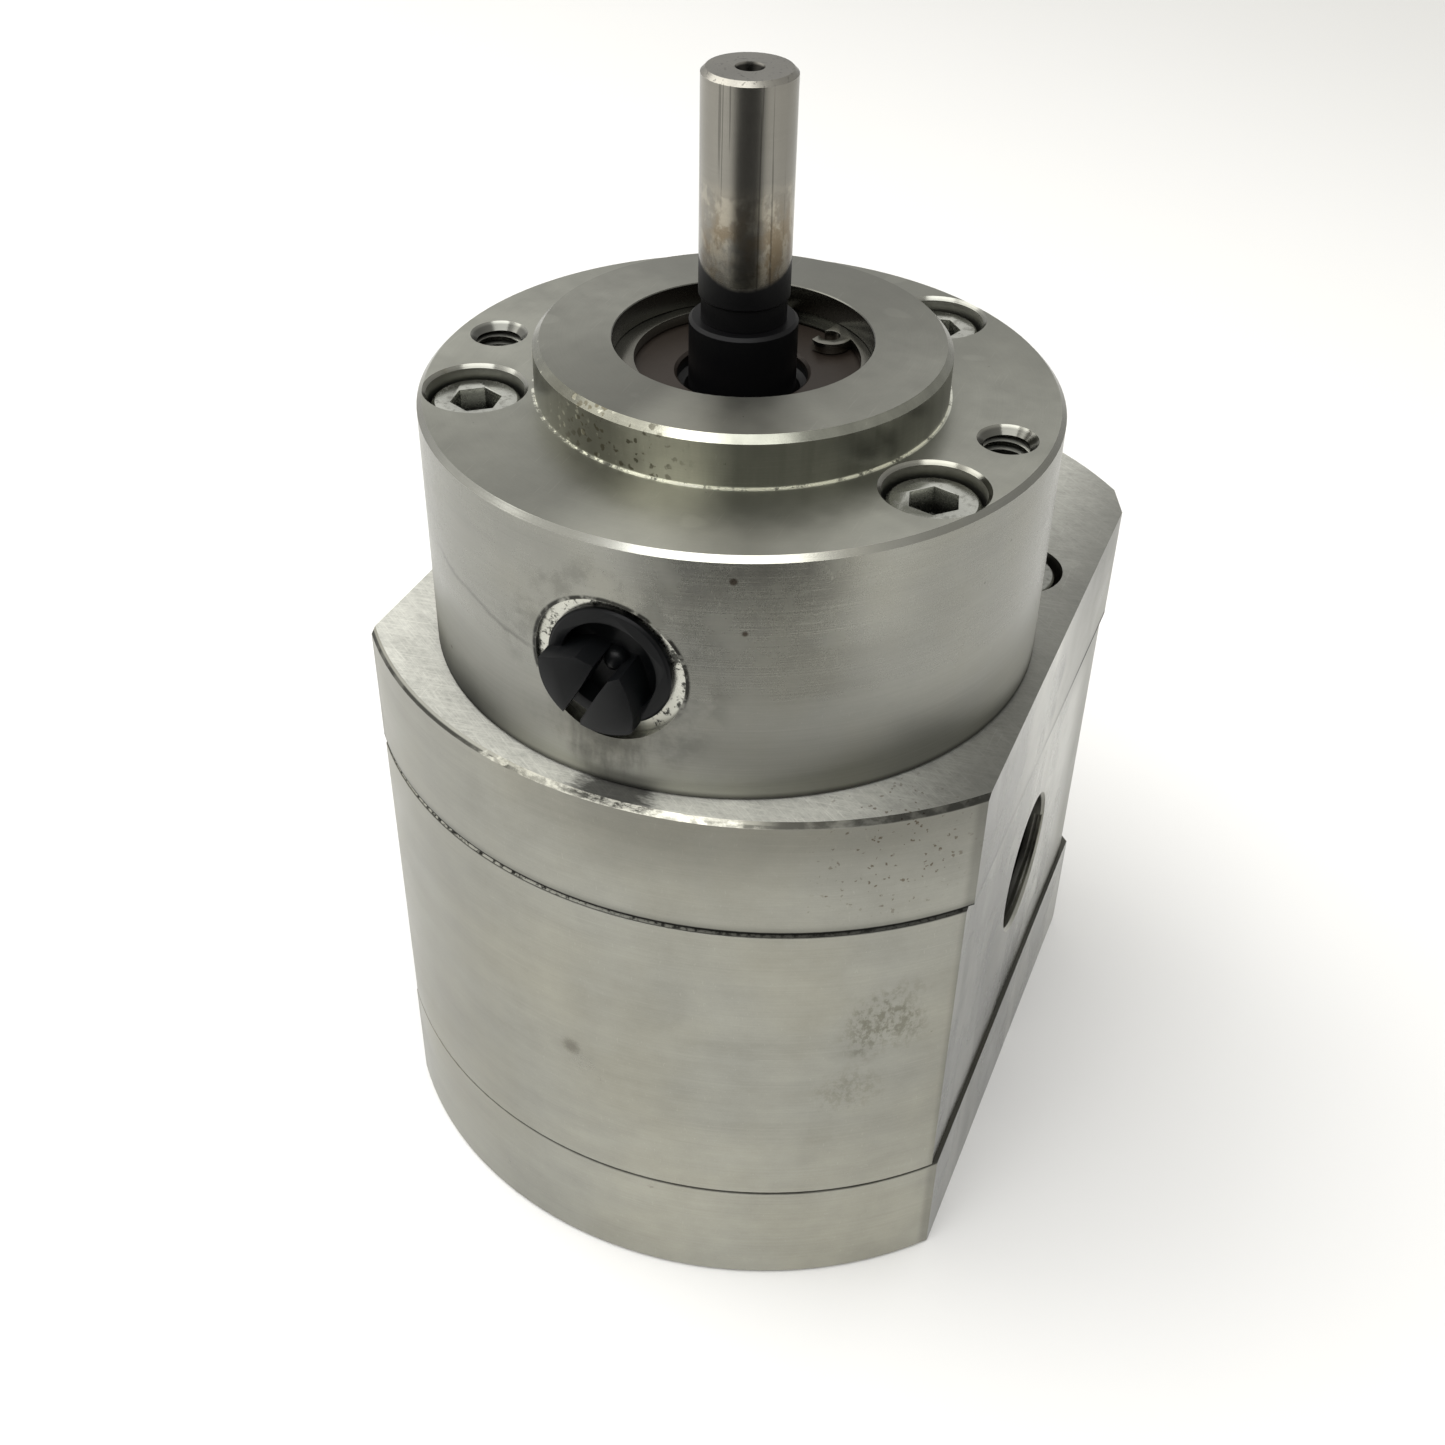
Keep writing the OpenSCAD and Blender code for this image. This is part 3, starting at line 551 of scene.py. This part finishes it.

    # the edge between a turned side and a flat; the screw wells get painted light and the ports painted
    # shade
    corner = m.product(m.step(m.math("ABSOLUTE", m.x), 36.9, 37.7), off_flat, side)
    painted_well = screw_wells(m, PLATE_SCREWS, 5.9, top)
    axis_far = m.far(m.y, m.z, cy, PORT_Z / MM)
    depth = m.math("SUBTRACT", FLAT_X / MM, m.math("ABSOLUTE", m.x))
    port_shade = m.product(m.inv(m.step(axis_far, 9.9, 10.1)), m.step(depth, 0.05, 3.5))

    # the top: bright and scuffed on the left, greyer to the right, with a dirty smudge in front
    top_mask = m.product(up, m.step(m.z, top - 1.0, top - 0.4))
    right = m.step(m.math("ADD", m.x, m.sway(mottle, 8.0)), 22.0, 42.0)
    smudge = m.product(m.blob(on_side(49.5, -88.5, top, cy), 2.6, 3.4, 6.0,
                              m.noise(1.2, 3.0, 0.7, (0.35, 1.4, 1.0))),
                       m.step(m.z, top - 0.7, top - 0.4))
    brush = m.largest(m.brushed(-35, 3.5, 0.16, 2.0), m.brushed(8, 5.0, 0.2, 8.0))
    scuff = m.total(m.product(m.noise(0.9, 4.0, 0.75, shift=41.0), 0.35), m.product(brush, 0.65))
    scuff_tone = m.product(m.math("SUBTRACT", scuff, 0.53), m.mixf(right, 2.0, 0.9), top_mask)

    # painted reflection: the flats are brighter towards the top and the rear, and painted shade makes them
    # dark low down there
    reach = m.total(m.y, m.product(m.z, 0.45), m.sway(patches, 30.0))
    painted_flat_reflection = m.mixf(flat, 1.0, m.total(0.52, m.product(m.step(reach, 12.0, 46.0), 0.60)))
    wiped = m.step(m.noise(1.0, 3.0, 0.5, (1.0, 0.13, 0.022), shift=33.0), 0.50, 0.62)
    smear = m.product(m.largest(m.blob((38.2, 13.4, 70.5), 0.4, 2.6, 3.0, mottle),
                                m.blob((38.2, 11.6, 66.0), 0.3, 2.0, 3.0, mottle)), flat)
    low_rear_shade = m.product(m.inv(m.step(m.z, seam2 - 2.0, seam2)), m.step(m.y, 15.0, 40.0), flat)

    # painted shade makes the turned sides darker at the left and on the front plate, and painted light makes
    # them paler near the floor
    painted_left_shade = m.product(m.inv(m.step(m.x, -22.0, -4.0)), side, off_flat)
    painted_low_light = m.product(m.step(m.x, -10.0, 14.0), m.inv(m.step(m.z, 10.0, 34.0)), off_flat)
    painted_high_shade = m.product(m.step(m.z, seam1 + 3.0, top - 2.0), m.step(m.x, -16.0, 4.0), side, off_flat)

    side_col = m.mix(m.step(clouds, 0.35, 0.70), (0.308, 0.307, 0.272), (0.290, 0.284, 0.240))
    flat_col = m.mix(m.step(patches, 0.42, 0.60), (0.318, 0.319, 0.295), (0.420, 0.421, 0.392))
    top_col = m.mix(right, (0.480, 0.480, 0.437), (0.240, 0.241, 0.220))
    col = m.mix(flat, side_col, flat_col)
    col = m.mix(top_mask, col, top_col)
    clouding = m.largest(cloud_right, m.product(cloud_low, 0.6))
    col = m.mix(m.product(clouding, 0.62), col, (0.150, 0.145, 0.105))
    col = m.mix(m.product(cloud_left, 0.25), col, (0.205, 0.190, 0.135))
    col = m.mix(m.product(mark, 0.6), col, (0.110, 0.100, 0.080))
    specks = m.largest(rust, rust2, m.product(dots, 0.55))
    col = m.mix(m.product(specks, 0.8), col, (0.105, 0.078, 0.050))
    col = m.mix(m.product(low_marks, 0.4), col, (0.130, 0.125, 0.105))
    tone = m.total(1.0, m.sway(clouds, 0.34), m.sway(mottle, 0.40), m.sway(lines, 0.20), m.sway(grain, 0.13),
                   m.sway(wipe, 0.32), m.product(scratch, 0.10), scuff_tone)
    tone = m.product(tone, m.fade(groove, 0.10), m.fade(above, 0.62), m.fade(line2, 0.25), m.fade(rim, 0.16),
                     m.fade(corner, 0.72), m.fade(painted_well, 2.0), m.fade(port_shade, 0.05), m.fade(smudge, 0.14),
                     painted_flat_reflection, m.fade(painted_left_shade, 0.86), m.fade(painted_low_light, 1.2), m.fade(painted_high_shade, 0.72),
                     m.fade(low_rear_shade, 0.66), m.fade(smear, 0.62))
    tone = m.total(tone, m.product(crest, 1.2), m.product(torn_edge, 0.9), m.product(wiped, flat, 0.17))
    m.set(Base_Color=m.vec("SCALE", col, scale=tone), Anisotropic=0.45)
    # the scuffed top is rough enough to look half matt
    m.set(Metallic=m.fade(m.product(top_mask, m.inv(right)), 0.30))
    rough = m.total(0.33, m.sway(mottle, 0.18), m.sway(patches, 0.12), m.sway(grain, 0.06),
                    m.product(groove, 0.3), m.product(cloud_right, 0.1), m.product(scratch, 0.06))
    rough = m.mixf(top_mask, rough, m.total(0.52, m.sway(scuff, 0.3)))
    rough = m.mixf(flat, rough, m.total(0.28, m.sway(patches, 0.24), m.sway(grain, 0.05)))
    m.set(Roughness=rough)
    m.turned()
    m.bump(m.total(m.product(lines, 0.55), m.product(grain, 0.3), m.product(m.inv(dots), 0.5),
                   m.product(scuff, top_mask, 1.6)), 0.18, 0.00005)
    return m


def shaft_steel():
    """Ground shaft, stained brown low down and black below that."""
    m = Nodes("steel_shaft")
    h = m.math("SUBTRACT", m.z, Z_FACE / MM)
    lines = m.noise(1.0, 4.0, 0.7, (0.05, 0.05, 6.0))
    clouds = m.noise(0.16, 4.0, 0.6)
    streak = m.noise(1.0, 3.0, 0.6, (0.5, 0.5, 0.04), shift=5.0)
    grain = m.noise(5.0, 3.0, 0.6)
    # the black edge hangs lowest in front, like a drop mark
    front = m.product(m.largest(m.total(m.product(m.x, 0.37), m.product(m.y, -0.93)), 0.0), 0.2)
    edge = m.total(15.6, m.product(front, -2.2), m.sway(clouds, 1.2))
    black = m.inv(m.step(m.math("SUBTRACT", h, edge), -0.35, 0.35))
    # above it a brown stain and pale dry patches, up to a faint tide line
    stain = m.product(m.step(m.math("ADD", clouds, m.sway(streak, 0.3)), 0.38, 0.60),
                      m.inv(m.step(h, 17.0, 25.5)))
    wavy = m.math("ADD", h, m.sway(clouds, 5.0))
    tide = m.product(m.band(wavy, 24.0, 0.15, 0.5), 0.14)
    salt = m.product(m.step(m.noise(0.55, 4.0, 0.7, (1.0, 1.0, 0.7), shift=23.0), 0.44, 0.60),
                     m.inv(m.step(wavy, 23.6, 24.0)))
    tone = m.total(1.0, m.sway(lines, 0.22), m.sway(clouds, 0.25), m.sway(streak, 0.2), m.sway(grain, 0.06))
    # thin marks drawn along the shaft, and painted shade in the centre drilling
    marks = m.scratches((0.35, 0.35, 40.0), 0.67, 3.0)
    centre_hole_shade = m.product(m.inv(m.step(m.far(m.x, m.y, 0, 0), 1.5, 1.75)), m.inv(m.step(h, 34.6, 34.85)))
    base = m.mix(m.product(stain, 0.8), (0.235, 0.226, 0.200), (0.200, 0.150, 0.088))
    base = m.mix(m.largest(tide, m.product(salt, 0.5)), base, (0.430, 0.405, 0.335))
    low = m.mixf(m.step(h, 14.5, 21.0), 0.42, 1.0)
    tone = m.product(tone, m.fade(marks, 0.62), m.fade(centre_hole_shade, 0.12), low)
    film = m.mix(clouds, (0.003, 0.003, 0.004), (0.007, 0.007, 0.007))
    base = m.mix(black, m.vec("SCALE", base, scale=tone), film)
    m.set(Base_Color=base, Metallic=m.fade(black, 0.25), Anisotropic=0.55, Specular_IOR_Level=0.15)
    m.set(Roughness=m.total(m.mixf(black, 0.23, 0.42), m.sway(streak, 0.10), m.sway(grain, 0.05)))
    m.turned()
    m.bump(m.total(lines, m.product(grain, 0.3)), 0.10, 0.00003)
    return m


def screw_finish(name, top, level):
    """Bright head tops, sockets darkened with painted shade."""
    m = Nodes(name)
    clouds = m.noise(0.35, 4.0, 0.6)
    fine = m.noise(6.0, 3.0, 0.6)
    # painted shade in the sockets, darkest at their floor
    deep = m.inv(m.step(m.z, top - 0.75, top - 0.18))
    socket_floor_shade = m.inv(m.step(m.z, top - 2.8, top - 1.2))
    dirt = m.step(m.noise(1.1, 3.0, 0.6, shift=4.0), 0.50, 0.68)
    col = m.mix(clouds, (0.68, 0.69, 0.64), (0.46, 0.465, 0.425))
    col = m.mix(m.product(dirt, 0.5), col, (0.15, 0.148, 0.125))
    tone = m.product(m.total(1.0, m.sway(clouds, 0.3), m.sway(fine, 0.15)), m.fade(deep, 0.62),
                     m.fade(socket_floor_shade, 0.30), level)
    m.set(Base_Color=m.vec("SCALE", col, scale=tone), Metallic=1.0)
    m.set(Roughness=m.total(0.19, m.sway(fine, 0.12), m.product(dirt, 0.15)))
    m.bump(m.total(fine, m.product(clouds, 2.0)), 0.16, 0.00006)
    return m


def simple_metal(name, colour, rough):
    """Plain metal with faint clouds and fine grain."""
    m = Nodes(name)
    clouds = m.noise(0.3, 4.0, 0.6)
    fine = m.noise(6.0, 3.0, 0.6)
    value = m.total(1.0, m.sway(clouds, 0.24), m.sway(fine, 0.12))
    col = m.vec("SCALE", m.mix(clouds, colour, tuple(c * 0.9 for c in colour)), scale=value)
    m.set(Base_Color=col, Metallic=1.0, Roughness=m.math("ADD", m.product(fine, 0.12), rough - 0.06))
    m.bump(fine, 0.1, 0.00003)
    return m


def simple_dark(name, colour, rough, metallic=0.0, specular=0.5):
    """Dark plastic, rubber or coated metal with faint clouds and fine grain."""
    m = Nodes(name)
    clouds = m.noise(0.5, 4.0, 0.6)
    fine = m.noise(8.0, 3.0, 0.6)
    value = m.total(1.0, m.sway(clouds, 0.4), m.sway(fine, 0.2))
    col = m.vec("SCALE", m.mix(clouds, colour, tuple(c * 0.85 for c in colour)), scale=value)
    m.set(Base_Color=col, Metallic=metallic, Roughness=m.math("ADD", m.product(fine, 0.15), rough - 0.07))
    m.set(Specular_IOR_Level=specular)
    m.bump(fine, 0.15, 0.00003)
    return m


give(housing, housing_steel())
plates = plate_steel()
for plate in (front, centre, rear):
    give(plate, plates)
give(house_screws, screw_finish("steel_house_screws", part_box("housing_screws")[1].z / MM, 1.0))
give(plate_screws, screw_finish("steel_plate_screws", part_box("body_screws")[1].z / MM, 0.55))
give(rear_screws, simple_metal("steel_rear_screws", (0.55, 0.54, 0.50), 0.26))
give(ring, simple_metal("steel_ring", (0.21, 0.205, 0.18), 0.24))
give(seal_case, simple_dark("seal_case_brown", (0.032, 0.023, 0.017), 0.42, 0.5))
give(plug, simple_dark("plug_black", (0.004, 0.0045, 0.005), 0.36, 0.0, 0.16))
give(shaft, shaft_steel())

# the other CAD nodes keep their shape and get a finish by their slot
INNER = {
    "ground_shaft": simple_metal("inner_ground", (0.55, 0.53, 0.48), 0.22),
    "gear_steel": simple_metal("inner_gear", (0.50, 0.50, 0.48), 0.28),
    "key_steel": simple_metal("inner_key", (0.42, 0.42, 0.41), 0.32),
    "ring_steel": simple_metal("inner_ring", (0.32, 0.31, 0.29), 0.3),
    "seal_case": simple_dark("inner_seal_case", (0.16, 0.12, 0.10), 0.45, 0.5),
    "seal_rubber": simple_dark("inner_rubber", (0.010, 0.010, 0.010), 0.6),
    "carbon": simple_dark("inner_carbon", (0.045, 0.045, 0.05), 0.55),
    "bronze": simple_metal("inner_bronze", (0.52, 0.36, 0.17), 0.32),
}
OUTER = {
    housing: "stainless_body", front: "stainless_body", centre: "stainless_body", rear: "stainless_body",
    shaft: "ground_shaft", plug: "plug_plastic", ring: "ring_steel", seal_case: "seal_case",
    house_screws: "screw_steel", plate_screws: "screw_steel", rear_screws: "screw_steel",
}
copied = {obj.name.removesuffix("_body") for obj in OUTER}
for row in frame["record"]["subparts"]:
    if row["node"] not in copied:
        give(NODES[row["node"]], INNER[row["material_slot"]])


# ---------------------------------------------------------------- stage

bm = bmesh.new()
bmesh.ops.create_grid(bm, x_segments=8, y_segments=8, size=4.0)
floor = new_object("floor", bm)
PAPER, PAPER_PALE, PAPER_SHADED_FAR = (0.80, 0.797, 0.785), (0.84, 0.838, 0.828), (0.63, 0.628, 0.612)
paper = Nodes("floor_paper")
# painted shade: the paper darkens further off, towards the rear right
painted_falloff = paper.step(paper.math("ADD", paper.y, paper.product(paper.x, 0.5)), 60.0, 700.0)
near = paper.mix(paper.noise(0.004, 3.0, 0.5), PAPER, PAPER_PALE)
paper.set(Base_Color=paper.mix(painted_falloff, near, PAPER_SHADED_FAR), Roughness=0.7)
give(floor, paper)

# a card stands in for the shade in front of the object, beyond the picture: pale at its edges, dark inside;
# only reflections show it
CARD_WAY, CARD_HALF = math.radians(-66.5), 50
bm = bmesh.new()
turns = [math.radians(-CARD_HALF + 2 * CARD_HALF * k / 32) for k in range(33)]
outline = [(0.115, a) for a in turns] + [(0.80, a) for a in reversed(turns)]
bm.faces.new([bm.verts.new((r * math.cos(CARD_WAY + a), r * math.sin(CARD_WAY + a), 0.001))
              for r, a in outline])
card = new_object("dark_card", bm)
card.visible_camera = False
card.visible_shadow = False
card.visible_diffuse = False
dark = Nodes("card_black")
out_by = dark.far(dark.x, dark.y, 0, 0)
forward = dark.total(dark.product(dark.x, math.cos(CARD_WAY)), dark.product(dark.y, math.sin(CARD_WAY)))
inside = dark.product(dark.step(out_by, 138.0, 186.0),
                      dark.step(dark.math("DIVIDE", forward, out_by),
                                math.cos(math.radians(45)), math.cos(math.radians(21))))
black = dark.mix(dark.noise(0.004, 3.0, 0.5), (0.05, 0.05, 0.05), (0.03, 0.03, 0.03))
dark.set(Base_Color=dark.mix(inside, PAPER, black), Roughness=0.7)
give(card, dark)

world = bpy.data.worlds.new("studio")
bpy.context.scene.world = world
world.use_nodes = True
tree = world.node_tree
tree.nodes.clear()


def wnode(kind, ins=None, **props):
    node = tree.nodes.new("ShaderNode" + kind)
    for key, value in props.items():
        setattr(node, key, value)
    for key, value in (ins or {}).items():
        if isinstance(value, bpy.types.NodeSocket):
            tree.links.new(value, node.inputs[key])
        else:
            node.inputs[key].default_value = value
    return node


direction = wnode("TexCoord").outputs["Generated"]


def wmath(op, a, b):
    return wnode("Math", {0: a, 1: b}, operation=op).outputs[0]


def lobe(towards, power=1.0, strength=1.0):
    """Light round one direction, falling off with the power of the cosine."""
    way = tuple(Vector(towards).normalized())
    dot = wnode("VectorMath", {0: direction, 1: way}, operation="DOT_PRODUCT").outputs["Value"]
    return wmath("MULTIPLY", wmath("POWER", wmath("MAXIMUM", dot, 0.0), power), strength)


def shaded(light, towards, low, high, darkest):
    """The light, darkened towards one direction, between two cosines."""
    ins = {"Value": lobe(towards), "From Min": low, "From Max": high, "To Min": 1.0, "To Max": darkest}
    shade = wnode("MapRange", ins, interpolation_type="SMOOTHSTEP").outputs[0]
    return wmath("MULTIPLY", shade, light)


# a dim room, lighter overhead and at the left
ROOM, ROOM_COLOUR = 0.62, (1.0, 0.99, 0.965)
light = wmath("ADD", lobe((0, 0, 1), 3.0, 0.50), ROOM)
light = wmath("ADD", lobe((-0.85, -0.25, 0.45), 3.0, 0.9), light)
# a dark figure stands in front of the object, and the whole room is dimmer on that side
light = shaded(light, (0.37, -0.86, 0.34), 0.80, 0.95, 0.10)
light = shaded(light, (0.366, -0.930, 0.0), 0.30, 0.80, 0.58)
tinted = wnode("VectorMath", {0: ROOM_COLOUR, "Scale": light}, operation="SCALE").outputs[0]
background = wnode("Background", {"Color": tinted, "Strength": 1.0})
wnode("OutputWorld", {"Surface": background.outputs[0]})


def area(name, at, towards, size, power, colour=(1, 1, 1)):
    """Rectangular lamp that faces a point."""
    data = bpy.data.lights.new(name, "AREA")
    data.shape = "RECTANGLE"
    data.size, data.size_y = size
    data.energy = power
    data.color = colour
    obj = bpy.data.objects.new(name, data)
    obj.location = at
    obj.rotation_euler = (Vector(towards) - Vector(at)).to_track_quat("-Z", "Y").to_euler()
    bpy.context.scene.collection.objects.link(obj)


area("lamp_front", (0.11, -0.56, 1.02), (0, 0, 0.1), (0.92, 0.62), 6.2)
area("lamp_left", (-0.80, -0.02, 1.15), (0, 0, 0.05), (0.9, 0.9), 6.5, (1.0, 0.99, 0.97))

# the camera as fitted to the photograph
cam_data = bpy.data.cameras.new("camera")
cam_data.sensor_width = 36.0
cam_data.lens = 44.49
cam = bpy.data.objects.new("camera", cam_data)
cam.location = (66.2 * MM, -167.8 * MM, Z_FACE + 92.55 * MM)
cam.rotation_euler = Euler((math.radians(52.08), math.radians(-0.93), math.radians(22.70)))
cam_data.clip_start = 0.01
bpy.context.scene.collection.objects.link(cam)
bpy.context.scene.camera = cam

bpy.context.scene.view_settings.view_transform = "Standard"
bpy.context.scene.view_settings.look = "None"
